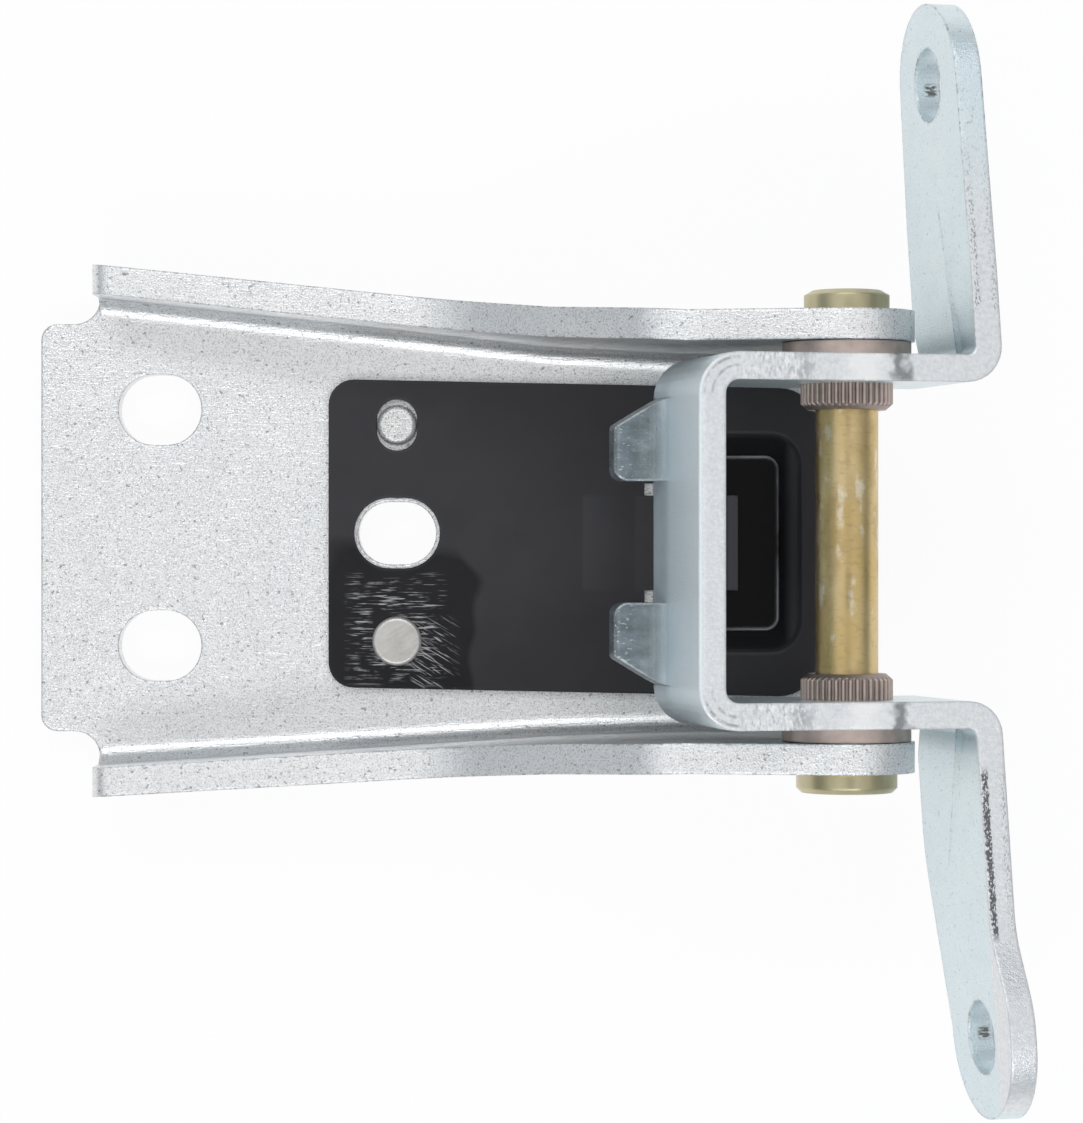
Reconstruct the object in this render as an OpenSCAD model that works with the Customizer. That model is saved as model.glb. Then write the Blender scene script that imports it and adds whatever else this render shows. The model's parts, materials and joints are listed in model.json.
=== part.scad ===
// Car door hinge: a folded pillar bracket, a black stop plate staked to it,
// a hat-section door bracket and the pin and bushes that join them.
// Origin: middle of the two left bolt slots, on the pillar bracket's back face.
// +X runs from the bolts to the pin, +Y along the pin, +Z away from the pillar.

/* [Pillar bracket] */
// Sheet thickness of the pillar bracket
body_t = 4.5; // [3.5:0.1:5.5]
// Inside radius of the flange bends
body_bend = 3; // [2:0.25:4]
// Distance from the slot centres to the plate's left edge
plate_left = 18.6; // [14:0.2:24]
// Height of the plate's left edge
plate_end_h = 63.8; // [58:0.2:70]
// Distance from the slot centres to the flanges' left ends
flange_left = 9.4; // [6:0.2:12]
// Height of the flange at its left end, from the back face
flange_low = 17; // [13:0.5:20]
// Height of the flange where it starts to climb to the ear
flange_mid = 24; // [20:0.5:28]
// Distance between the outer faces of the ears
ear_span = 67.8; // [66:0.1:72]
// Radius of the ear round the pin
ear_r = 10; // [9:0.25:12]
// Taper of the upper flange
upper_taper = 6.3; // [4:0.1:8]
// Taper of the lower flange
lower_taper = 3.7; // [2:0.1:6]
// Where the tapered flanges would meet the ears' planes
knee_x = 71; // [66:0.5:76]
// Half the length of the knee between taper and ear
knee_l = 10; // [6:0.5:14]
// Right-hand end of the plate, before the pin
plate_right_gap = 3.8; // [2:0.2:8]

/* [Bolt slots] */
// Distance between the two left slots
slot_pitch = 37; // [34:0.5:40]
// Length of the left slots
slot_l = 13; // [11.5:0.1:15]
// Width of the left slots
slot_w = 11.1; // [9:0.1:11.4]
// Distance from the left slots to the middle slot
mid_slot_x = 37.2; // [34:0.2:40]
// Length of the middle slot
mid_slot_l = 12.2; // [11:0.1:13]
// Width of the middle slot
mid_slot_w = 9.8; // [8:0.1:10.8]

/* [Hinge pin] */
// Distance from the slot centres to the pin
pin_x = 104.8; // [101:0.2:108]
// Offset of the pin's middle from the bolt line
pin_y = -2.4; // [-4:0.1:0]
// Height of the pin above the back face
pin_h = 39; // [38.5:0.1:41]
// Diameter of the pin
pin_d = 9.3; // [8:0.1:10]
// Diameter of the peened upper head
peen_d = 12.6; // [11:0.1:14]
// Thickness of the peened upper head
peen_t = 3.1; // [2:0.1:4]
// Diameter of the lower head
head_d = 14.9; // [13:0.1:17]
// Thickness of the lower head
head_t = 3; // [2:0.1:4]

/* [Bushes] */
// Outside diameter of the bush in the leg
bush_d = 12.6; // [12:0.1:13]
// Diameter over the knurl
knurl_d = 13.6; // [13.3:0.1:14.5]
// Length of the knurled end inside the leg
knurl_l = 3.8; // [2.5:0.1:5]
// Number of knurl teeth
knurl_teeth = 40; // [30:2:48]
// Diameter of the bush flange
bush_flange_d = 19; // [17:0.2:19.6]
// Thickness of the bush flange, between leg and ear
bush_flange_t = 2.1; // [1.5:0.1:3]
// Radial clearance between bush and pin
run_gap = 0.03; // [0.02:0.01:0.05]
// End clearance between bush flange and ear
end_gap = 0.1; // [0.05:0.05:0.3]

/* [Door bracket] */
// Sheet thickness of the door bracket
door_t = 4; // [3.5:0.1:4.4]
// Distance from the pin to the web's outer face
web_x = 26.2; // [25:0.1:27]
// Depth of the web and legs
web_depth = 24; // [22:0.5:24.5]
// Inside radius of the web bends
door_bend = 2; // [1.5:0.25:3]
// Inside radius of the arm bends
arm_bend = 1.2; // [0.8:0.1:2]
// Turn of the door bracket about the pin, from square
door_tilt = 14; // [8:0.5:18]
// Distance from the pin to the arms' left faces at the bends
arm_x = 15.8; // [15:0.1:18]
// Lean of the arms out of the pin's direction
arm_lean = 4; // [2:0.25:5]
// Diameter of the bolt holes in the arms
arm_hole_d = 11; // [9:0.1:12]
// Radius of the arm ends
arm_r = 12; // [11:0.25:13]
// Distance from the middle to the upper hole
upper_hole_y = 67.8; // [62:0.2:72]
// Offset of the upper hole across the arm
upper_hole_z = -1; // [-3:0.25:1]
// Distance from the middle to the lower hole
lower_hole_y = 73; // [68:0.2:78]
// Offset of the lower hole across the arm
lower_hole_z = 5.5; // [3:0.25:7]
// How far the arms' roots reach past the web's depth
root_extra = 2; // [0:0.25:3]
// Height of the stiffening ribs at the arms' roots
rib_h = 0.7; // [0.4:0.1:1]
// Width of the stiffening ribs at the arms' roots
rib_w = 2.8; // [2:0.1:4]
// Length of the stiffening ribs
rib_l = 24; // [20:0.5:28]
// How far the upper rib slants across its arm
upper_rib_slant = 6; // [0:0.5:8]
// How far the lower rib slants across its arm
lower_rib_slant = 10; // [0:0.5:12]

/* [Stop claws] */
// Reach of the claws from the web's outer face
claw_l = 7; // [5:0.1:7.4]
// Distance from the middle to the claws' inner edges
claw_in = 9; // [8.4:0.1:10]
// Width of a claw at its tip
claw_tip_w = 8; // [6:0.1:9]
// Width of a claw at its root
claw_root_w = 13.2; // [11:0.1:13.6]
// Inside radius of the claws' bends
claw_bend = 4; // [2:0.25:5]

/* [Stop plate] */
// Sheet thickness of the stop plate
stop_t = 1.6; // [1.2:0.1:1.8]
// Distance from the slot centres to the stop plate's left edge
stop_left = 26.5; // [25:0.2:29]
// Width of the stop plate
stop_w = 48.2; // [46:0.2:50]
// Corner radius of the stop plate
stop_corner = 4; // [2:0.25:6]
// Distance between the locating pin and the rivet
stake_pitch = 33.8; // [31:0.2:36]
// Diameter of the locating pin
locator_d = 6; // [5:0.1:6.2]
// Diameter of the rivet's flattened head
rivet_d = 7.7; // [6.5:0.1:9]
// Width of the tongue
tongue_w = 14.8; // [13:0.1:15.4]
// Where the tongue's free end lies, before the pin
tongue_end = 14.4; // [13:0.2:17]
// Rise of the tongue's free end
tongue_rise = 2; // [0.5:0.1:2.5]
// Width of the relief cuts beside the tongue
relief_w = 1.9; // [1.5:0.1:2.5]
// Width of the pocket at its rim
pocket_w = 36; // [35:0.2:40]
// Draft of the pocket's walls, seen from above
pocket_draft = 3.6; // [3:0.1:4.5]
// Length of the pocket at its rim
pocket_l = 23.6; // [22:0.2:24]
// Width of the flat rim at the pocket's right end
pocket_rim = 1.6; // [1:0.1:2]
// Clearance round the pocket in the pillar bracket's window
pocket_gap = 0.4; // [0.2:0.1:1]
// Play along the plate's oval hole for the locating pin
locator_play = 2; // [1:0.1:2.5]
// Extra length and width of the stop plate's slot over the pillar bracket's
slot_margin = 1.2; // [0.6:0.1:2]

/* [Hidden] */
$fn = 64;
far = 400;
hair = 0.01;
// Depth of cuts that go right through a sheet
through = 10;

zinc = [0.80, 0.81, 0.83];
blue_zinc = [0.70, 0.76, 0.79];
black_paint = [0.06, 0.06, 0.07];
yellow_zinc = [0.74, 0.64, 0.36];
bronze = [0.50, 0.43, 0.40];

ear_out = ear_span / 2;
ear_in = ear_out - body_t;
leg_out = ear_in - end_gap - bush_flange_t;
leg_in = leg_out - door_t;
lap = 1;
claw_h = claw_bend + door_t + lap;
plate_right = pin_x - plate_right_gap;
bend_out = body_bend + body_t;
channel_h = pin_h + ear_r + 5;
channel_right = pin_x + ear_r + 5;
stop_overhang = 2;
stop_right = plate_right + stop_overhang;
floor_z = body_t;
stop_z = floor_z + stop_t;
back_gap = 0.2;
pocket_depth = body_t - back_gap;
pocket_x1 = stop_right - pocket_rim;
pocket_x0 = pocket_x1 - pocket_l;
pocket_r = 5;
tongue_x1 = pin_x - tongue_end;
tongue_root = 1.5;
tongue_x0 = pocket_x0 - relief_w - tongue_root;
locator_side = 0.3;
stake_rise = 0.3;
stake_x = mid_slot_x;
stake_y = pin_y * stake_x / pin_x;

// Round the corners of an outline: each point is [x, y, radius]
function flat(p) = [p[0], p[1]];
function unit(v) = v / norm(v);
function corner(a, b, c, r, n) =
    let (u = unit(a - b), v = unit(c - b), half = acos(u * v) / 2,
         mid = b + unit(u + v) * r / sin(half),
         p = b + u * r / tan(half) - mid, q = b + v * r / tan(half) - mid,
         start = atan2(p[1], p[0]), end = atan2(q[1], q[0]),
         sweep = (end - start + 540) % 360 - 180)
    [for (i = [0:n]) mid + r * [cos(start + sweep * i / n), sin(start + sweep * i / n)]];
function rounded(points, n = 8) =
    let (count = len(points))
    [for (i = [0:count - 1])
        let (a = flat(points[(i + count - 1) % count]), b = flat(points[i]),
             c = flat(points[(i + 1) % count]), r = points[i][2])
        each (r == 0 ? [b] : corner(a, b, c, r, n))];

// Outer face of a flange at x, from the pin's middle: a taper, a knee, a straight ear
function flange_y(x, taper) =
    let (run = knee_x + knee_l - x)
    x > knee_x + knee_l ? ear_out
    : x > knee_x - knee_l ? ear_out + run * tan(taper) / 2
    : ear_out + (knee_x - x) * tan(taper);
// Point where a line from p touches the circle round c, on the given side
function touch(p, c, r, side) =
    let (d = norm(p - c), a = atan2(p[1] - c[1], p[0] - c[0]) + side * acos(r / d))
    c + r * [cos(a), sin(a)];

module slot(x, y, length, width, depth) {
    r = width / 2 - hair;
    translate([x, y, -depth]) linear_extrude(2 * depth) polygon(rounded([
        [-length / 2, -width / 2, r], [length / 2, -width / 2, r],
        [length / 2, width / 2, r], [-length / 2, width / 2, r]]));
}

module along_y(y0, y1) {
    translate([0, y1, 0]) rotate([90, 0, 0]) linear_extrude(y1 - y0) children();
}

// Section of the folded channel at x, in Y and Z: inset 0 is the outside of the
// sheet, inset body_t the space between the flanges
module channel_section(x, inset) {
    up = pin_y + flange_y(x, upper_taper) - inset;
    down = pin_y - flange_y(x, lower_taper) + inset;
    polygon(rounded([
        [up, channel_h, 0], [down, channel_h, 0],
        [down, inset, bend_out - inset], [up, inset, bend_out - inset]]));
}

module section_slab(x0, x1, x, inset) {
    translate([x0, 0, 0]) rotate([90, 0, 90]) linear_extrude(x1 - x0) channel_section(x, inset);
}

// The channel's outside or inside: a tapered run, the knee and a straight run past the pin
module channel_block(inset) {
    left = -flange_left - inset;
    stations = [left, knee_x - knee_l, knee_x + knee_l];
    for (i = [0, 1]) hull() {
        section_slab(stations[i], stations[i] + hair, stations[i], inset);
        section_slab(stations[i + 1] - hair, stations[i + 1], stations[i + 1], inset);
    }
    section_slab(stations[2], channel_right + inset, stations[2], inset);
}

module channel() {
    difference() {
        channel_block(0);
        channel_block(body_t);
    }
}

// Side view of the flanges and ears, in X and Z
module ear_profile() {
    pin = [pin_x, pin_h];
    foot = [plate_right, 0];
    past = 5;
    climb = [knee_x + past, pin_h + past];
    climb_r = 14;
    sag = [knee_x - 26, flange_mid];
    sag_r = 30;
    end_r = 3;
    bite = 0.05;
    top = touch(climb, pin, ear_r - bite, -1);
    low = touch(foot, pin, ear_r - bite, 1);
    translate(pin) circle(ear_r);
    polygon(rounded([
        [-flange_left, 0, 0], [-flange_left, flange_low, end_r], [sag[0], sag[1], sag_r],
        [climb[0], climb[1], climb_r], [top[0], top[1], 0], [pin_x, pin_h, 0], [low[0], low[1], 0],
        [plate_right, 0, 0]]));
}

// Plan of the flat tab to the left of the flanges
module tab_plan() {
    half = plate_end_h / 2;
    into = 6;
    tab_r = 2.5;
    polygon(rounded([
        [-plate_left, half, tab_r], [-flange_left + into, half, 0],
        [-flange_left + into, -half, 0], [-plate_left, -half, tab_r]]));
}

// Rounded step from the plate's end up to the flange's bend
module notch_fillet() {
    half = plate_end_h / 2;
    step = 4;
    for (side = [0, 1]) mirror([0, side, 0])
        difference() {
            translate([-flange_left - step, half - step, 0]) cube([step + 2, 2 * step, body_t]);
            translate([-flange_left - step, half + step, -1]) cylinder(r = step, h = body_t + 2);
        }
}

module pocket_plan(grow) {
    half = pocket_w / 2 + grow;
    polygon(rounded([
        [pocket_x0 - grow, pin_y - half, pocket_r], [pocket_x1 + grow, pin_y - half, pocket_r],
        [pocket_x1 + grow, pin_y + half, pocket_r], [pocket_x0 - grow, pin_y + half, pocket_r]]));
}

module body_bracket() {
    color(zinc) difference() {
        union() {
            linear_extrude(body_t) tab_plan();
            notch_fillet();
            intersection() {
                channel();
                along_y(-far / 2, far / 2) ear_profile();
            }
        }
        for (s = [-1, 1]) slot(0, s * slot_pitch / 2, slot_l, slot_w, through);
        slot(mid_slot_x, stake_y, mid_slot_l, mid_slot_w, through);
        translate([0, 0, -1]) linear_extrude(body_t + 2) pocket_plan(pocket_gap);
        for (s = [-1, 1]) translate([stake_x, stake_y + s * stake_pitch / 2, -1])
            cylinder(d = locator_d, h = body_t + 2);
        translate([pin_x, far / 2, pin_h]) rotate([90, 0, 0]) cylinder(d = pin_d, h = far);
    }
}

// Tongue's side view: a flat strip that lifts towards its free end
module tongue_side(length) {
    polygon([[0, 0], [length, tongue_rise], [length, tongue_rise + stop_t], [0, stop_t]]);
}

// A drafted recess from the top of a plate at z = 0 down to z = -depth
module drafted_recess(grow, depth) {
    half = pocket_w / 2 + grow;
    cut = pocket_draft;
    floor_r = 2;
    hull() {
        linear_extrude(hair) pocket_plan(grow);
        translate([0, 0, -depth]) linear_extrude(hair)
            polygon(rounded([
                [pocket_x0 - grow + cut, pin_y - half + cut, floor_r],
                [pocket_x1 + grow - cut, pin_y - half + cut, floor_r],
                [pocket_x1 + grow - cut, pin_y + half - cut, floor_r],
                [pocket_x0 - grow + cut, pin_y + half - cut, floor_r]]));
    }
}

module stop_plan() {
    up = stake_y + stop_w / 2;
    down = stake_y - stop_w / 2;
    drop = pin_y - stake_y;
    end_r = 6;
    polygon(rounded([
        [stop_left, down, stop_corner], [stop_right, down + drop, end_r],
        [stop_right, up + drop, end_r], [stop_left, up, stop_corner]]));
}

module stop_plate() {
    relief_x = pocket_x0 - relief_w;
    color(black_paint) difference() {
        union() {
            translate([0, 0, floor_z]) linear_extrude(stop_t) stop_plan();
            translate([0, 0, stop_z - stop_t]) drafted_recess(0, pocket_depth);
            translate([tongue_x0, 0, floor_z])
                along_y(pin_y - tongue_w / 2, pin_y + tongue_w / 2) tongue_side(tongue_x1 - tongue_x0);
        }
        difference() {
            translate([0, 0, stop_z + hair]) drafted_recess(-stop_t / 2, pocket_depth + hair);
            translate([tongue_x0, 0, floor_z])
                along_y(pin_y - tongue_w / 2, pin_y + tongue_w / 2) tongue_side(tongue_x1 - tongue_x0);
        }
        for (s = [-1, 1])
            translate([relief_x, pin_y + s * (tongue_w + relief_w) / 2 - relief_w / 2, floor_z - 1])
                cube([relief_w + 2, relief_w, 4]);
        slot(mid_slot_x, stake_y, mid_slot_l + slot_margin, mid_slot_w + slot_margin, through);
        translate([0, stake_y + stake_pitch / 2, 0]) rotate([0, 0, 90])
            slot(0, -stake_x, locator_d + locator_play, locator_d + locator_side, through);
        translate([stake_x, stake_y - stake_pitch / 2, -1]) cylinder(d = locator_d, h = 12);
    }
}

module locating_pin() {
    edge = 0.5;
    color(zinc) translate([stake_x, stake_y + stake_pitch / 2, 0]) {
        cylinder(d = locator_d, h = stop_z + stake_rise);
        translate([0, 0, stop_z + stake_rise])
            cylinder(d1 = locator_d, d2 = locator_d - 2 * edge, h = edge);
    }
}

module rivet() {
    edge = 0.4;
    color(zinc) translate([stake_x, stake_y - stake_pitch / 2, 0]) {
        cylinder(d = locator_d, h = stop_z + stake_rise);
        translate([0, 0, stop_z]) cylinder(d = rivet_d, h = stake_rise);
        translate([0, 0, stop_z + stake_rise]) cylinder(d1 = rivet_d, d2 = rivet_d - 2 * edge, h = edge);
    }
}

module on_pin() {
    translate([pin_x, pin_y, pin_h]) rotate([-90, 0, 0]) children();
}

module hinge_pin() {
    edge = 0.7;
    color(yellow_zinc) on_pin() {
        translate([0, 0, -ear_out - head_t / 2])
            cylinder(d = pin_d, h = ear_span + (head_t + peen_t) / 2);
        translate([0, 0, ear_out]) {
            cylinder(d = peen_d, h = peen_t - edge);
            translate([0, 0, peen_t - edge]) cylinder(d1 = peen_d, d2 = peen_d - 2.4, h = edge);
        }
        translate([0, 0, -ear_out - head_t]) {
            cylinder(d1 = head_d - 2 * edge, d2 = head_d, h = edge);
            translate([0, 0, edge]) cylinder(d = head_d, h = head_t - edge);
        }
    }
}

module knurl_plan() {
    tooth_h = 0.45;
    root_w = 0.84;
    tip_w = 0.32;
    sunk = 0.3;
    root = knurl_d / 2 - tooth_h;
    circle(root);
    for (i = [0:knurl_teeth - 1]) rotate(i * 360 / knurl_teeth)
        translate([root - sunk, 0]) polygon([
            [0, -root_w / 2], [sunk + tooth_h, -tip_w / 2], [sunk + tooth_h, tip_w / 2], [0, root_w / 2]]);
}

// A bush in the leg on the +Y side, flange against the leg's outer face
module bush() {
    chamfer = 1;
    on_pin() difference() {
        union() {
            translate([0, 0, leg_out]) cylinder(d = bush_flange_d, h = bush_flange_t);
            translate([0, 0, leg_in]) cylinder(d = bush_d, h = door_t);
            intersection() {
                translate([0, 0, leg_in - knurl_l]) linear_extrude(knurl_l) knurl_plan();
                union() {
                    translate([0, 0, leg_in - knurl_l])
                        cylinder(d1 = knurl_d - 2 * chamfer, d2 = knurl_d + 0.2, h = chamfer);
                    translate([0, 0, leg_in - knurl_l + chamfer])
                        cylinder(d = knurl_d + 0.2, h = knurl_l - chamfer);
                }
            }
        }
        translate([0, 0, leg_in - knurl_l - 1])
            cylinder(d = pin_d + 2 * run_gap, h = door_t + knurl_l + bush_flange_t + 2);
    }
}

module upper_bush() {
    color(bronze) bush();
}

module lower_bush() {
    color(bronze) translate([0, 2 * pin_y, 0]) mirror([0, 1, 0]) bush();
}

// Distance of an arm's left face from the pin at a height y above the middle;
// both arms lean the same way, each about its own bend
function arm_face(y) = arm_x - sign(y) * (abs(y) - leg_out) * tan(arm_lean);

module hat_plan() {
    reach = lower_hole_y + arm_r + 4;
    thick = door_t / cos(arm_lean);
    polygon(rounded([
        [arm_face(reach), reach, 0], [arm_x, leg_out, arm_bend],
        [-web_x, leg_out, door_bend + door_t], [-web_x, -leg_out, door_bend + door_t],
        [arm_x, -leg_out, arm_bend], [arm_face(-reach), -reach, 0],
        [arm_face(-reach) + thick, -reach, 0],
        [arm_face(-leg_in) + thick, -leg_in, arm_bend + door_t],
        [-web_x + door_t, -leg_in, door_bend], [-web_x + door_t, leg_in, door_bend],
        [arm_face(leg_in) + thick, leg_in, arm_bend + door_t],
        [arm_face(reach) + thick, reach, 0]]));
}

// The bracket seen along X, in Y and Z: web, legs and arms with their round ends
module hat_side() {
    half = web_depth / 2;
    root = half + root_extra;
    upper = [upper_hole_y, upper_hole_z];
    lower = [-lower_hole_y, lower_hole_z];
    // Distances from the legs' outer faces along the arms
    step = 5;
    root_l = 20;
    upper_run = 12;
    lower_run = 30;
    // Radii of the corners, from sharp to broad
    step_r = 3;
    root_r = 5;
    waist_r = 13;
    sweep_r = 30;
    edge_r = 60;
    translate(upper) circle(arm_r);
    translate(lower) circle(arm_r);
    polygon(rounded([
        [upper[0], upper[1] + arm_r, 0], [leg_out + upper_run, half, edge_r],
        [-leg_out - lower_run, half, waist_r], [lower[0] + step, lower[1] + arm_r, waist_r],
        [lower[0], lower[1] + arm_r, 0], [lower[0], lower[1] - arm_r, 0],
        [-leg_out - root_l, -root, sweep_r], [-leg_out - step, -root, root_r],
        [-leg_out, -half, step_r], [leg_out, -half, step_r],
        [leg_out + step, -root, root_r], [leg_out + root_l, -root, sweep_r],
        [upper[0], upper[1] - arm_r, 0]], n = 12));
}

// One claw on the +Y side, bent from the web's far edge towards -X
module claw() {
    half = web_depth / 2;
    tip = web_x + claw_l;
    edge = 0.8;
    out_root = claw_in + claw_root_w;
    out_tip = claw_in + claw_tip_w;
    inner_r = 2;
    outer_r = 1.2;
    flare_r = 5;
    intersection() {
        along_y(0, leg_in)
            polygon(rounded([
                [-web_x + door_t, -half + claw_h + lap, 0],
                [-web_x + door_t, -half, claw_bend + door_t],
                [-tip, -half, edge], [-tip, -half + door_t, edge],
                [-web_x, -half + door_t, claw_bend], [-web_x, -half + claw_h + lap, 0]]));
        translate([0, 0, -half - lap]) linear_extrude(web_depth)
            polygon(rounded([
                [-web_x + door_t + lap, claw_in, 0], [-tip, claw_in, inner_r],
                [-tip, out_tip, outer_r], [-web_x, out_root - lap, flare_r],
                [-web_x + door_t + lap, out_root, 0]]));
    }
}

// Web material that the claws' bends replace
module claw_seat() {
    translate([-web_x - lap, claw_in, -web_depth / 2 - lap])
        cube([door_t + 2 * lap, claw_root_w - lap, claw_h + lap]);
}

// Pressed rib that crosses the bend and fades out along an arm: a flat four-sided
// spike, sunk so that only its crest stands on the arm's left face
module arm_rib(side, slant) {
    over = 1.5;
    root_z = web_depth / 4;
    start = door_t / 2;
    y = leg_out - start;
    translate([arm_face(side * y) + (over - 1) * rib_h, side * y, root_z])
        rotate([0, 0, arm_lean]) scale([2 * rib_h / rib_w, 1, 1])
            rotate([-side * (90 + atan(slant / rib_l)), 0, 0])
                cylinder(r1 = over * rib_w / 2, r2 = hair, h = over * (rib_l + start), $fn = 4);
}

module arm_hole(side, y, z) {
    translate([arm_face(side * y), side * y, z]) rotate([0, 0, arm_lean]) rotate([0, 90, 0])
        translate([0, 0, -through]) cylinder(d = arm_hole_d, h = door_t + 2 * through);
}

module door_bracket() {
    color(blue_zinc) translate([pin_x, pin_y, pin_h]) rotate([0, door_tilt, 0]) difference() {
        union() {
            difference() {
                intersection() {
                    translate([0, 0, -far / 2]) linear_extrude(far) hat_plan();
                    rotate([90, 0, 90]) translate([0, 0, -far / 2]) linear_extrude(far) hat_side();
                }
                for (m = [0, 1]) mirror([0, m, 0]) claw_seat();
            }
            for (m = [0, 1]) mirror([0, m, 0]) claw();
            arm_rib(1, upper_rib_slant);
            arm_rib(-1, lower_rib_slant);
        }
        for (m = [0, 1]) mirror([0, m, 0]) translate([0, leg_in - through / 2, 0]) rotate([-90, 0, 0])
            cylinder(d = bush_d, h = door_t + through);
        arm_hole(1, upper_hole_y, upper_hole_z);
        arm_hole(-1, lower_hole_y, lower_hole_z);
    }
}

body_bracket();
stop_plate();
locating_pin();
rivet();
hinge_pin();
upper_bush();
lower_bush();
door_bracket();
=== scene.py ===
import json
from math import radians, tan

import bpy
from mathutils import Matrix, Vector


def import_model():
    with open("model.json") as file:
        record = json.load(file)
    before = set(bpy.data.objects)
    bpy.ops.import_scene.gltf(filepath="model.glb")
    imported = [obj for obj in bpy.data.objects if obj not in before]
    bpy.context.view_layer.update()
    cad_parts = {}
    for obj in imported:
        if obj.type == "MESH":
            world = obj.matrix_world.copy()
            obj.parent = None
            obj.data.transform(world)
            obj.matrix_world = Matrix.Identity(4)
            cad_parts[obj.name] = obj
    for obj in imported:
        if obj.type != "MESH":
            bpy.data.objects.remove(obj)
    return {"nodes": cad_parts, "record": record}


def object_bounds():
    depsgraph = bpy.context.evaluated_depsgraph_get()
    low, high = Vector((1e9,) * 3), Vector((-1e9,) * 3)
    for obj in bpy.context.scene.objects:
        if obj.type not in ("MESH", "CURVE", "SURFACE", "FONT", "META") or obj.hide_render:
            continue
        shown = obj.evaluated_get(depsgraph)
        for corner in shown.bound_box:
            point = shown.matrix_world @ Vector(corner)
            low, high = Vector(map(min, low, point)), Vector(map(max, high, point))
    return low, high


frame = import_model()
cad_box = [list(corner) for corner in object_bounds()]

# Masks, noise and bumps are given in millimetres; Blender's own lengths are metres
mm = 0.001

# The pin's middle, where the door bracket's own coordinates start
pin = Vector(frame["record"]["behaviour"]["joints"][0]["pos_m"])

# The door bracket, from the pin's middle: its turn at rest and its faces
door_tilt = radians(14)
arm_lean = radians(4)
leg_out = 27.2
web_out = -26.2
arm_in = 15.8
outer_bend = 6.0
bolt_holes = ((67.8, -1.0), (-73.0, 5.5))


# Shader building

def add(tree, kind, inputs=None, **settings):
    """Adds a node; an input value that is a socket is linked, any other is set."""
    made = tree.nodes.new(kind)
    for key, value in settings.items():
        setattr(made, key, value)
    for key, value in (inputs or {}).items():
        if isinstance(value, bpy.types.NodeSocket):
            tree.links.new(value, made.inputs[key])
        else:
            made.inputs[key].default_value = value
    return made


def calc(tree, operation, a, b=0.0):
    return add(tree, "ShaderNodeMath", {0: a, 1: b}, operation=operation).outputs[0]


def rgba(color):
    """A colour as a node takes it: a socket as it is, three numbers with full alpha."""
    return color if isinstance(color, bpy.types.NodeSocket) else (*color, 1.0)


def mix(tree, factor, a, b):
    made = add(tree, "ShaderNodeMix", {0: factor, 6: rgba(a), 7: rgba(b)}, data_type="RGBA")
    return made.outputs[2]


def ramp(tree, value, low, high, start=0.0, end=1.0):
    """Maps low..high of a value to start..end, held at both ends."""
    return add(tree, "ShaderNodeMapRange", {"Value": value, "From Min": low, "From Max": high,
                                            "To Min": start, "To Max": end}, clamp=True).outputs[0]


def length(tree, a, b):
    """The length of a flat vector."""
    squares = [calc(tree, "MULTIPLY", side, side) for side in (a, b)]
    return calc(tree, "SQRT", calc(tree, "ADD", *squares))


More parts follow.
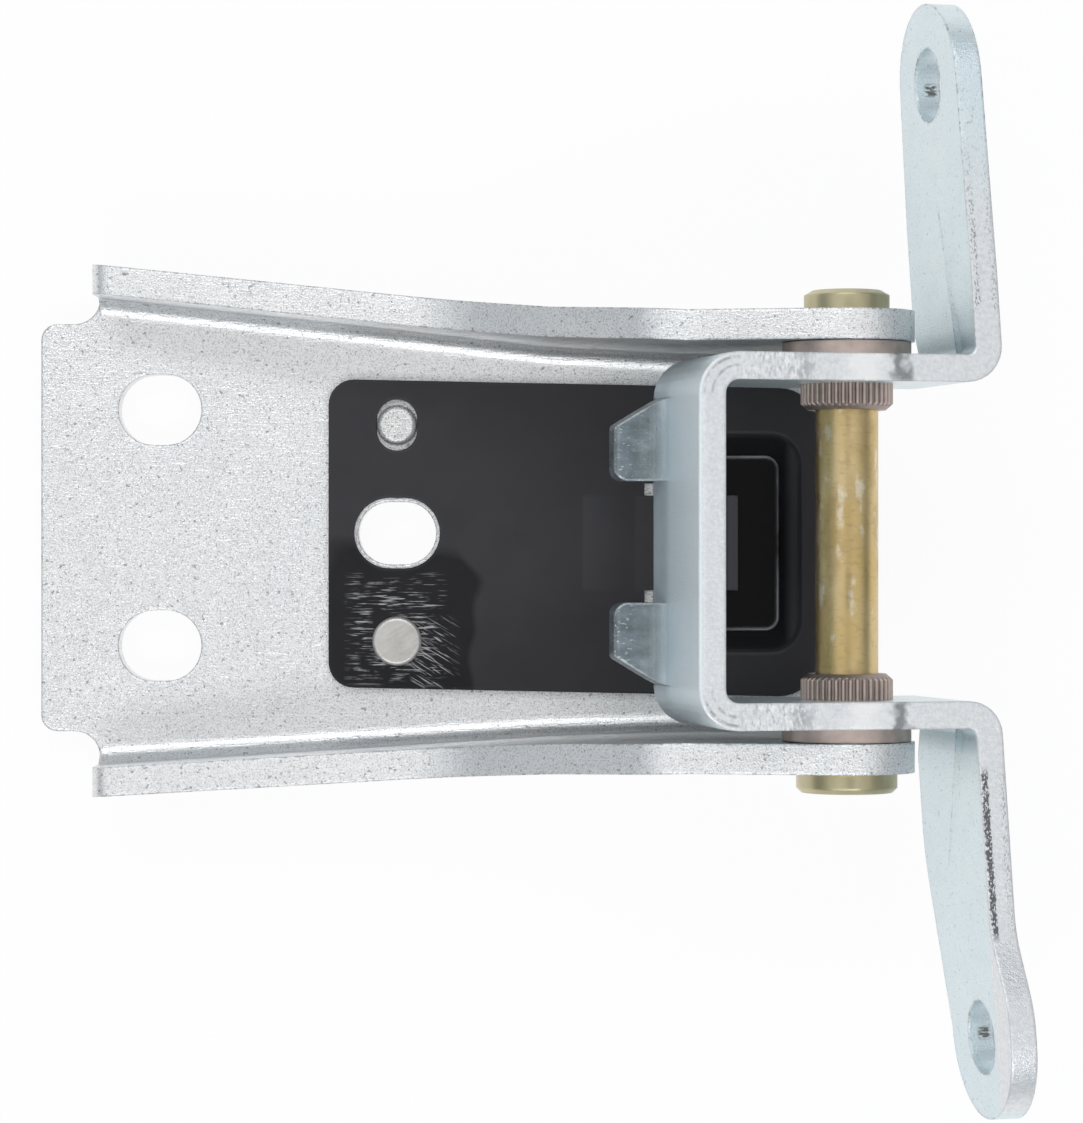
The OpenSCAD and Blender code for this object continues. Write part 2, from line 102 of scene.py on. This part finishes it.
class Metal:
    """A material with the part's own coordinates, masks and a Principled shader."""

    def __init__(self, name, color, metallic, roughness):
        self.material = bpy.data.materials.new(name)
        self.material.use_nodes = True
        self.material.diffuse_color = (*color, 1.0)
        self.tree = self.material.node_tree
        self.shader = self.tree.nodes["Principled BSDF"]
        self.shader.inputs["Base Color"].default_value = (*color, 1.0)
        self.shader.inputs["Metallic"].default_value = metallic
        self.shader.inputs["Roughness"].default_value = roughness
        self.place = add(self.tree, "ShaderNodeTexCoord").outputs["Object"]
        split = add(self.tree, "ShaderNodeSeparateXYZ", {0: self.place})
        self.x, self.y, self.z = split.outputs

    def noise(self, size, detail=4.0, stretch=(1, 1, 1), shift=(0, 0, 0), turn=0.0):
        """Noise with features of about the given size, roughly 0 to 1."""
        where = self.place
        if turn:
            where = add(self.tree, "ShaderNodeVectorRotate", {"Vector": where, "Angle": turn},
                        rotation_type="Z_AXIS").outputs[0]
        where = add(self.tree, "ShaderNodeMapping", {"Vector": where, "Location": shift,
                                                     "Scale": stretch}).outputs[0]
        made = add(self.tree, "ShaderNodeTexNoise", {"Vector": where, "Scale": 1 / (size * mm),
                                                     "Detail": detail})
        return ramp(self.tree, made.outputs["Fac"], 0.3, 0.7)

    def rounded_normal(self, radius):
        """Normal that is rounded over the edges, and a mask that is 1 on them."""
        soft = add(self.tree, "ShaderNodeBevel", {"Radius": radius * mm}, samples=6).outputs[0]
        flat = add(self.tree, "ShaderNodeNewGeometry").outputs["True Normal"]
        lean = add(self.tree, "ShaderNodeVectorMath", {0: soft, 1: flat}, operation="DOT_PRODUCT")
        return soft, ramp(self.tree, lean.outputs["Value"], 0.995, 0.9)

    def from_pin(self, turn=0.0):
        """Coordinates from the pin's middle, turned back about the pin."""
        turned = add(self.tree, "ShaderNodeVectorRotate",
                     {"Vector": self.place, "Center": pin, "Angle": -turn}, rotation_type="Y_AXIS")
        moved = add(self.tree, "ShaderNodeVectorMath", {0: turned.outputs[0], 1: pin},
                    operation="SUBTRACT")
        return add(self.tree, "ShaderNodeSeparateXYZ", {0: moved.outputs[0]}).outputs

    def rise(self, value, low, high):
        """A mask that goes from 0 to 1 between two places, which may run downwards."""
        return ramp(self.tree, value, low * mm, high * mm)

    def window(self, value, low, high, soft):
        """1 where a coordinate lies between low and high, with soft ends."""
        return self.both(self.rise(value, low - soft, low + soft),
                         self.rise(value, high + soft, high - soft))

    def both(self, *masks):
        """Where all the masks hold."""
        joined = masks[0]
        for mask in masks[1:]:
            joined = calc(self.tree, "MULTIPLY", joined, mask)
        return joined

    def wander(self, value, noise, reach, middle=0.5):
        """A coordinate moved by noise, over the given reach."""
        moved = calc(self.tree, "SUBTRACT", noise, middle)
        return calc(self.tree, "ADD", value, calc(self.tree, "MULTIPLY", moved, reach * mm))

    def paint(self, color, share, mask, new):
        """The colour with a share of a new one where the mask holds."""
        return mix(self.tree, calc(self.tree, "MULTIPLY", mask, share), color, new)

    def set(self, socket, value):
        self.tree.links.new(value, self.shader.inputs[socket])

    def roughen(self, noise, spread, least):
        """Roughness that varies with noise."""
        self.set("Roughness", calc(self.tree, "ADD", calc(self.tree, "MULTIPLY", noise, spread), least))

    def bump(self, height, strength, depth, normal):
        made = add(self.tree, "ShaderNodeBump", {"Height": height, "Strength": strength,
                                                 "Distance": depth * mm, "Normal": normal})
        self.set("Normal", made.outputs[0])


# Zinc plated steel

def zinc(name, light, cool, dark, metallic, rough, grain, pitted):
    """Bright zinc plating: fine grain, sparse pits, rolled lines, a painted highlight along the edges and
    dark chips worn into them.
    """
    m = Metal(name, light, metallic, rough)
    t = m.tree
    broad = m.noise(14, 3.0)
    patch = m.noise(3.5, 5.0, shift=(0.3, 0.1, 0))
    speckle = m.noise(0.24, 3.0)
    pits = m.noise(0.7, 5.0, shift=(0.2, 0.7, 0.4))
    lines = m.noise(0.35, 3.0, stretch=(0.1, 1, 1), shift=(0.1, 0.4, 0))
    chips = m.noise(0.9, 3.0, shift=(0.6, 0.2, 0.1))
    normal, edge = m.rounded_normal(0.6)
    color = mix(t, calc(t, "MULTIPLY", broad, 0.8), light, cool)
    color = m.paint(color, 0.10, ramp(t, patch, 0.5, 0.95), dark)
    color = m.paint(color, grain, ramp(t, speckle, 0.50, 0.95), dark)
    color = m.paint(color, grain, ramp(t, speckle, 0.45, 0.05), (0.97, 0.97, 0.97))
    color = m.paint(color, 0.30, ramp(t, lines, 0.85, 1.0), dark)
    color = m.paint(color, pitted, ramp(t, pits, 0.84, 0.94), (0.26, 0.27, 0.28))
    # Painted highlight: the rounded edges lightened
    color = m.paint(color, 0.25, edge, (0.95, 0.95, 0.96))
    color = m.paint(color, 0.60, m.both(edge, ramp(t, chips, 0.55, 0.75)), (0.16, 0.16, 0.17))
    m.roughen(patch, 0.04, rough - 0.02)
    height = calc(t, "ADD", calc(t, "MULTIPLY", speckle, 0.6), calc(t, "MULTIPLY", lines, 0.4))
    m.bump(height, 0.60, 0.08, normal)
    return m, color, edge


def base_plate():
    """Pillar bracket: speckled zinc, with painted greenish shade on the flanges' inner walls near the
    ears.
    """
    m, color, _ = zinc("zinc_plate", (0.89, 0.89, 0.89), (0.84, 0.86, 0.88), (0.42, 0.43, 0.45),
                       metallic=0.85, rough=0.30, grain=0.75, pitted=0.75)
    t = m.tree
    beside = calc(t, "ABSOLUTE", calc(t, "SUBTRACT", m.y, pin.y))
    # Painted shade on the flanges' inner walls near the ears
    flange_shade = m.both(m.window(beside, 28.0, 31.0, 0.6), m.rise(m.x, 45, 85), m.window(m.z, 6, 33, 3))
    color = m.paint(color, 0.55, flange_shade, (0.26, 0.31, 0.31))
    m.set("Base Color", color)
    return m.material


def stake():
    """Locating pin: darker zinc with a stronger speckle."""
    m, color, _ = zinc("zinc_stake", (0.78, 0.78, 0.77), (0.70, 0.72, 0.74), (0.28, 0.28, 0.28),
                       metallic=0.85, rough=0.30, grain=0.70, pitted=0.75)
    m.set("Base Color", color)
    return m.material


def rivet_zinc():
    """Hammered rivet head: smooth warm grey with rubbed diagonal streaks and a painted highlight round its
    edge.
    """
    m = Metal("zinc_rivet", (0.66, 0.65, 0.62), 0.85, 0.36)
    t = m.tree
    cloud = m.noise(2.5)
    streak = m.noise(0.5, 3.0, stretch=(0.12, 1, 1), turn=-0.6)
    normal, edge = m.rounded_normal(0.5)
    color = mix(t, cloud, (0.72, 0.71, 0.69), (0.58, 0.56, 0.52))
    color = m.paint(color, 0.4, ramp(t, streak, 0.55, 0.95), (0.36, 0.35, 0.33))
    # Painted highlight round the head's edge
    color = m.paint(color, 0.3, edge, (0.88, 0.88, 0.88))
    m.set("Base Color", color)
    m.roughen(streak, 0.15, 0.28)
    m.bump(streak, 0.25, 0.05, normal)
    return m.material


# Door bracket

class DoorPlace:
    """Where a point lies on the door bracket, from the pin's middle with its turn undone."""

    def __init__(self, m):
        t = m.tree
        self.u, self.v, self.w = m.from_pin(door_tilt)
        self.beside = calc(t, "ABSOLUTE", self.v)

        # Along an arm from its leg, and into its thickness from the inner face
        self.along = calc(t, "SUBTRACT", self.beside, leg_out * mm)
        outward = calc(t, "MULTIPLY", calc(t, "SIGN", self.v), self.along)
        drift = calc(t, "MULTIPLY", outward, tan(arm_lean))
        self.into = calc(t, "ADD", calc(t, "SUBTRACT", self.u, arm_in * mm), drift)

        # The sheared edge that faces the camera, the web's outer face, and two kinds of wear
        self.cut = m.rise(self.w, 11.2, 11.8)
        self.web = m.both(m.rise(self.u, web_out + 1.2, web_out + 0.2),
                          m.rise(self.u, web_out - 1.2, web_out - 0.2))
        self.grain = m.noise(0.6, shift=(0.5, 0.5, 0))
        self.tear = m.noise(0.24, stretch=(1, 0.5, 1), shift=(0.9, 0.2, 0))


def sheared_edges(m, color, at):
    """Grey cut edges, torn dark along both borders of the arms, with shade in the inside corners."""
    t = m.tree
    color = m.paint(color, 0.85, at.cut, mix(t, at.grain, (0.89, 0.89, 0.90), (0.72, 0.72, 0.74)))
    ragged = m.wander(at.into, at.grain, 0.5)
    straight = m.both(at.cut, m.window(at.along, 6.2, 30.5, 0.8))
    inner = m.both(straight, m.window(ragged, 0.3, 1.2, 0.1))
    outer = m.both(straight, m.window(ragged, 3.0, 3.8, 0.3))
    lower = calc(t, "LESS_THAN", at.v, 0.0)
    upper = calc(t, "SUBTRACT", 1.0, lower)
    dense = ramp(t, at.tear, 0.20, 0.40)
    sparse = ramp(t, at.tear, 0.55, 0.75)
    color = m.paint(color, 0.9, m.both(inner, lower, dense), (0.07, 0.07, 0.08))
    color = m.paint(color, 0.7, m.both(inner, upper, sparse), (0.16, 0.16, 0.17))
    color = m.paint(color, 0.6, m.both(outer, sparse), (0.20, 0.20, 0.21))
    corner = m.both(m.window(at.along, -1.0, 3.0, 1.2), m.window(at.into, -2.0, 0.4, 0.4),
                    calc(t, "SUBTRACT", 1.0, at.cut))
    return m.paint(color, 0.60, corner, (0.28, 0.40, 0.44))


def painted_leg_glare(m, color, at):
    """The legs' cut edges: a painted glare and painted dark reflection bands beside the pin, painted dark
    and bright reflection streaks near the web's bend.
    """
    t = m.tree
    uneven = m.wander(at.u, m.noise(2.5, 2.0, shift=(0.2, 0.6, 0)), 2.0, middle=0.0)
    glint_streaks = m.noise(0.4, stretch=(1, 0.4, 1), shift=(0.4, 0.1, 0))
    on_leg = m.both(at.cut, m.rise(at.beside, 22.8, 23.6), m.rise(at.u, 15, 13))
    near_bend = m.both(on_leg, m.window(at.u, -20.0, -9.5, 2.5))
    glare = (0.98, 0.98, 0.98)
    # Painted reflections: dark bands and a glare on the legs' cut edges
    color = m.paint(color, 0.85, m.both(on_leg, m.window(uneven, 4.2, 6.2, 0.6)), (0.20, 0.21, 0.22))
    color = m.paint(color, 0.45, m.both(on_leg, m.window(uneven, -10.4, -8.6, 0.8)), (0.24, 0.25, 0.27))
    color = m.paint(color, 0.80, m.both(on_leg, m.window(uneven, -3.0, 2.5, 1.5)), glare)
    # Painted reflection streaks near the web's bend, dark and bright
    color = m.paint(color, 0.50, m.both(near_bend, ramp(t, glint_streaks, 0.60, 0.85)), (0.34, 0.35, 0.37))
    return m.paint(color, 0.80, m.both(near_bend, ramp(t, glint_streaks, 0.40, 0.20)), glare)


def dark_web_lines(m, color, at):
    """Dark lines on the web's cut edge: one along its outer border, arcs round its bends."""
    t = m.tree
    border = m.both(at.cut, m.window(at.u, web_out + 0.3, web_out + 0.6, 0.2),
                    m.rise(at.beside, 23.5, 21.5), ramp(t, at.tear, 0.30, 0.60))
    color = m.paint(color, 0.45, border, (0.20, 0.21, 0.22))
    bend_u = calc(t, "SUBTRACT", at.u, (web_out + outer_bend) * mm)
    bend_v = calc(t, "SUBTRACT", at.beside, (leg_out - outer_bend) * mm)
    radius = length(t, bend_u, bend_v)
    arcs = calc(t, "MAXIMUM", m.window(radius, 5.1, 5.4, 0.2), m.window(radius, 3.9, 4.1, 0.2))
    arc_breaks = m.noise(1.1, shift=(0.3, 0.8, 0))
    bend = m.both(at.cut, m.rise(bend_u, 0.4, -0.4), m.rise(bend_v, -0.4, 0.4))
    return m.paint(color, 0.80, m.both(bend, arcs, ramp(t, arc_breaks, 0.20, 0.65)), (0.16, 0.17, 0.18))


def claw_shade_and_web_light(m, color, at, edge):
    """Dull web face, paler towards its upper edge by a painted highlight, and claws darkened by painted
    shade, with lighter streaks, bright scuffs at the tips and a painted highlight on their rims.
    """
    t = m.tree
    # Painted highlight: the web face lighter towards its upper edge
    face = mix(t, m.rise(at.w, -6, 12), (0.62, 0.75, 0.81), (0.88, 0.96, 0.99))
    color = m.paint(color, 0.8, at.web, face)
    claw = m.both(m.rise(at.u, web_out + 1.0, web_out - 2.0), m.rise(at.w, -3, -6))
    streak = m.noise(2.2, 6.0, stretch=(0.6, 1, 1), shift=(0.6, 0.4, 0))
    scuff = m.noise(0.4, stretch=(0.5, 1, 1), shift=(0.1, 0.9, 0))
    tip = m.both(claw, m.rise(at.u, web_out - 3.5, web_out - 7.0), ramp(t, scuff, 0.72, 0.92))
    # Painted shade: the claws darkened, with lighter streaks
    color = m.paint(color, 0.92, claw, mix(t, streak, (0.08, 0.10, 0.11), (0.21, 0.26, 0.29)))
    color = m.paint(color, 0.85, tip, (0.82, 0.86, 0.88))
    # Painted highlight on the claws' rims
    return m.paint(color, 0.60, m.both(claw, edge), (0.84, 0.90, 0.93))


def dark_hole_patches(m, color, at):
    """A dark ridged patch on the wall of each bolt hole."""
    t = m.tree
    ridged = ramp(t, m.noise(0.3, 2.0, stretch=(0.2, 1, 1), shift=(0.7, 0.1, 0)), 0.20, 0.50)
    for hole_v, hole_w in bolt_holes:
        patch = m.both(m.window(at.v, hole_v - 0.9, hole_v + 0.9, 0.3),
                       m.window(at.w, hole_w - 5.8, hole_w - 4.5, 0.1),
                       m.window(at.into, 1.6, 3.4, 0.3), ridged)
        color = m.paint(color, 0.9, patch, (0.10, 0.09, 0.08))
    return color


def door_plate():
    """Blue zinc on the faces, neutral and torn on the sheared edges with painted glare on the legs, and
    painted shade darkening the claws.
    """
    metallic = 0.65
    web_less_metallic = 0.35
    m, color, edge = zinc("blue_zinc_plate", (0.77, 0.86, 0.89), (0.70, 0.83, 0.88), (0.52, 0.60, 0.64),
                          metallic=metallic, rough=0.30, grain=0.30, pitted=0.35)
    t = m.tree
    at = DoorPlace(m)
    color = sheared_edges(m, color, at)
    color = painted_leg_glare(m, color, at)
    color = dark_web_lines(m, color, at)
    color = claw_shade_and_web_light(m, color, at, edge)
    color = dark_hole_patches(m, color, at)
    m.set("Base Color", color)
    m.set("Metallic", calc(t, "SUBTRACT", metallic, calc(t, "MULTIPLY", at.web, web_less_metallic)))
    return m.material


# Stop plate, pin and bushes

def black_paint():
    """Satin black coating, rubbed black and scratched round the rivet, glossy in the pocket, with painted
    shade and highlights in the pocket and painted highlights on the tongue and the edges.
    """
    m = Metal("black_paint", (0.034, 0.034, 0.037), 0.0, 0.30)
    m.shader.inputs["Specular IOR Level"].default_value = 0.25
    t = m.tree
    cloud = m.noise(6)
    fine = m.noise(0.5, 2.0)
    normal, edge = m.rounded_normal(0.8)
    color = mix(t, calc(t, "MULTIPLY", cloud, 0.5), (0.037, 0.036, 0.041), (0.041, 0.040, 0.046))

    # Oily dark area below the slot, with a soft wavy border
    wave = m.noise(13, 1.0, shift=(0.4, 0, 0))
    oily = m.both(m.rise(m.wander(m.x, wave, 7), 49.0, 47.5), m.rise(m.wander(m.y, wave, 7), -2, -5))
    color = m.paint(color, 0.75, oily, (0.004, 0.004, 0.005))

    # Scratches: level ones all round the rivet, slanting ones to its lower right
    bare = (0.46, 0.46, 0.47)
    level = m.noise(0.24, 2.0, stretch=(0.07, 1, 1), shift=(0.2, 0.2, 0))
    slant = m.noise(0.24, 2.0, stretch=(0.07, 1, 1), shift=(0.5, 0.5, 0), turn=0.55)
    worn = m.noise(4.5, 3.0, shift=(0.1, 0.2, 0))
    all_round = m.both(m.window(m.x, 30, 44, 1.2), m.window(m.y, -24, -8, 1.2),
                       ramp(t, level, 0.64, 0.90), ramp(t, worn, 0.25, 0.55))
    lower_right = m.both(m.window(m.x, 39.5, 46.0, 1.2), m.window(m.y, -25.5, -15.0, 1.5),
                         ramp(t, slant, 0.70, 0.95))
    color = m.paint(color, 0.9, all_round, bare)
    color = m.paint(color, 0.9, lower_right, bare)

    # Pocket: walls darkened by painted shade, a painted reflection lightening the right wall, a floor
    # painted black as shade, painted highlight lines along the bends
    sunk = m.rise(m.z, 5.7, 5.0)
    pocket_floor = m.rise(m.z, 2.4, 2.0)
    right_wall = m.both(sunk, m.window(m.x, 98.5, 101.0, 0.6))
    shine = ramp(t, m.noise(9, 2.0, shift=(0.7, 0.3, 0)), 0.20, 0.80, 0.2, 1.0)
    color = m.paint(color, 1.0, sunk, (0.020, 0.020, 0.022))
    color = m.paint(color, 0.6, right_wall, (0.110, 0.110, 0.114))
    color = m.paint(color, 1.0, pocket_floor, (0.001, 0.001, 0.002))
    color = m.paint(color, 0.9, m.both(edge, sunk, shine), (0.70, 0.70, 0.72))

    # Tongue: a painted highlight band over its bend and a tip lightened by painted light
    half_tongue = 7.4
    middle = m.window(calc(t, "SUBTRACT", m.y, pin.y), -half_tongue, half_tongue, 0.3)
    band = m.both(middle, m.rise(m.x, 66.0, 66.4), m.rise(m.x, 72.5, 67.0))
    tip_light = m.both(m.window(m.x, 88.8, 92.5, 0.2), m.rise(m.z, 6.6, 7.0))
    color = m.paint(color, 0.30, band, (0.07, 0.07, 0.08))
    color = m.paint(color, 0.6, tip_light, (0.13, 0.13, 0.14))
    # Painted highlight along all the edges
    color = m.paint(color, 0.06, edge, (0.25, 0.25, 0.26))
    m.set("Base Color", color)
    satin = calc(t, "ADD", calc(t, "MULTIPLY", cloud, 0.08), 0.28)
    m.set("Roughness", calc(t, "SUBTRACT", satin, calc(t, "MULTIPLY", sunk, 0.14)))
    m.bump(fine, 0.10, 0.04, normal)
    return m.material


def yellow_zinc():
    """Yellow passivated pin: golden shaft with brown streaks round it, olive heads, a painted highlight on
    the edges.
    """
    m = Metal("yellow_zinc", (0.60, 0.46, 0.20), 1.0, 0.34)
    t = m.tree
    pale = m.noise(6, stretch=(1, 0.5, 1))
    stain = m.noise(4, 5.0, stretch=(1, 0.6, 1), shift=(0.1, 0.5, 0))
    scuff = m.noise(2.2, 6.0, stretch=(1, 0.5, 1), shift=(0.8, 0.3, 0))
    turned = m.noise(0.6, 3.0, stretch=(0.5, 1, 0.5))
    normal, edge = m.rounded_normal(0.5)
    color = mix(t, pale, (0.60, 0.44, 0.19), (0.70, 0.56, 0.32))
    color = m.paint(color, 0.45, ramp(t, stain, 0.5, 1.0), (0.36, 0.24, 0.11))
    color = m.paint(color, 0.55, ramp(t, scuff, 0.72, 0.92), (0.86, 0.80, 0.66))
    color = m.paint(color, 0.25, ramp(t, turned, 0.6, 1.0), (0.30, 0.21, 0.10))
    head = m.rise(calc(t, "ABSOLUTE", calc(t, "SUBTRACT", m.y, pin.y)), 33.0, 34.5)
    color = mix(t, head, color, mix(t, pale, (0.46, 0.41, 0.25), (0.60, 0.55, 0.37)))
    # Painted highlight on the edges
    color = m.paint(color, 0.25, edge, (0.85, 0.80, 0.62))
    m.set("Base Color", color)
    m.roughen(stain, 0.18, 0.26)
    m.bump(turned, 0.18, 0.05, normal)
    return m.material


def bronze_bush():
    """Dull brown bearing metal, darker in the knurl's valleys by painted shade, with a painted highlight
    on the edges.
    """
    m = Metal("bronze_bush", (0.33, 0.26, 0.23), 0.9, 0.42)
    t = m.tree
    cloud = m.noise(2)
    fine = m.noise(0.4, 2.0)
    normal, edge = m.rounded_normal(0.3)
    u, v, w = m.from_pin()
    knurl_shade = m.both(m.rise(length(t, u, w), 6.7, 6.4), m.rise(calc(t, "ABSOLUTE", v), 24, 23))
    color = mix(t, cloud, (0.48, 0.39, 0.35), (0.64, 0.53, 0.48))
    # Painted highlight on the edges
    color = m.paint(color, 0.35, edge, (0.66, 0.57, 0.53))
    # Painted shade in the knurl's valleys
    color = m.paint(color, 0.50, knurl_shade, (0.12, 0.09, 0.08))
    m.set("Base Color", color)
    m.roughen(cloud, 0.15, 0.34)
    m.bump(fine, 0.2, 0.04, normal)
    return m.material


bush_metal = bronze_bush()
finishes = {
    "body_bracket": base_plate(),
    "door_bracket": door_plate(),
    "locating_pin": stake(),
    "rivet": rivet_zinc(),
    "stop_plate": black_paint(),
    "hinge_pin": yellow_zinc(),
    "upper_bush": bush_metal,
    "lower_bush": bush_metal,
}
for name, material in finishes.items():
    shown = frame["nodes"][name]
    shown.data.materials.clear()
    shown.data.materials.append(material)


# Floor, light and camera

def floor():
    """A pale floor that the camera and reflections see as white, with the part's shadow kept."""
    size = 3.0
    below_part = 0.0002
    white_share = 0.93
    mesh = bpy.data.meshes.new("floor")
    mesh.from_pydata([(-size, -size, 0), (size, -size, 0), (size, size, 0), (-size, size, 0)], [],
                     [(0, 1, 2, 3)])
    plane = bpy.data.objects.new("floor", mesh)
    plane.location.z = cad_box[0][2] - below_part
    bpy.context.collection.objects.link(plane)
    material = bpy.data.materials.new("pale_floor")
    material.use_nodes = True
    t = material.node_tree
    t.nodes.remove(t.nodes["Principled BSDF"])
    path = add(t, "ShaderNodeLightPath").outputs
    seen = calc(t, "MAXIMUM", calc(t, "MAXIMUM", path["Is Camera Ray"], path["Is Glossy Ray"]),
                path["Is Transmission Ray"])
    matte = add(t, "ShaderNodeBsdfDiffuse", {"Color": (0.92, 0.92, 0.92, 1)}).outputs[0]
    white = add(t, "ShaderNodeEmission", {"Color": (1, 1, 1, 1), "Strength": 1.0}).outputs[0]
    share = calc(t, "MULTIPLY", seen, white_share)
    surface = add(t, "ShaderNodeMixShader", {0: share, 1: matte, 2: white})
    t.links.new(surface.outputs[0], t.nodes["Material Output"].inputs["Surface"])
    mesh.materials.append(material)


def world():
    """A pale tent, dim low down and right overhead, so that bends show darker lines."""
    made = bpy.data.worlds.new("tent")
    bpy.context.scene.world = made
    made.use_nodes = True
    t = made.node_tree
    up = add(t, "ShaderNodeSeparateXYZ", {0: add(t, "ShaderNodeTexCoord").outputs["Generated"]}).outputs[2]
    band = add(t, "ShaderNodeValToRGB", {0: ramp(t, up, -1, 1)})

    # The ramp starts at the horizon and ends overhead
    stops = band.color_ramp.elements
    stops[0].position = 0.5
    stops[0].color = (0.80, 0.84, 0.87, 1)
    stops[1].position = 1.0
    stops[1].color = (0.40, 0.40, 0.41, 1)
    for position, color in ((0.62, (0.24, 0.28, 0.30)), (0.72, (0.34, 0.38, 0.41)),
                            (0.82, (0.88, 0.90, 0.92)), (0.983, (1.0, 1.0, 1.0)),
                            (0.995, (0.50, 0.50, 0.51))):
        stop = stops.new(position)
        stop.color = (*color, 1)
    t.links.new(band.outputs[0], t.nodes["Background"].inputs["Color"])
    t.nodes["Background"].inputs["Strength"].default_value = 0.85


def strip_lamp(name, place, power):
    """A strip light aimed at the part; its long side runs along X."""
    aim = Vector((0.06, 0, 0.02))
    data = bpy.data.lights.new(name, "AREA")
    data.shape = "RECTANGLE"
    data.size = 0.8
    data.size_y = 0.18
    data.energy = power
    made = bpy.data.objects.new(name, data)
    made.location = place
    made.rotation_euler = (aim - Vector(place)).to_track_quat("-Z", "Y").to_euler()
    bpy.context.collection.objects.link(made)


def camera():
    """Looks straight down on the part, as the photograph does."""
    data = bpy.data.cameras.new("camera")
    data.sensor_width = 36
    data.lens = 118.6
    made = bpy.data.objects.new("camera", data)
    made.location = (0.0598, -0.0053, 0.5845)
    bpy.context.collection.objects.link(made)
    bpy.context.scene.camera = made


floor()
world()
strip_lamp("key", (0.0, 0.50, 0.75), 1.7)
strip_lamp("fill", (0.06, -0.52, 0.72), 1.8)
camera()
bpy.context.scene.view_settings.view_transform = "Standard"
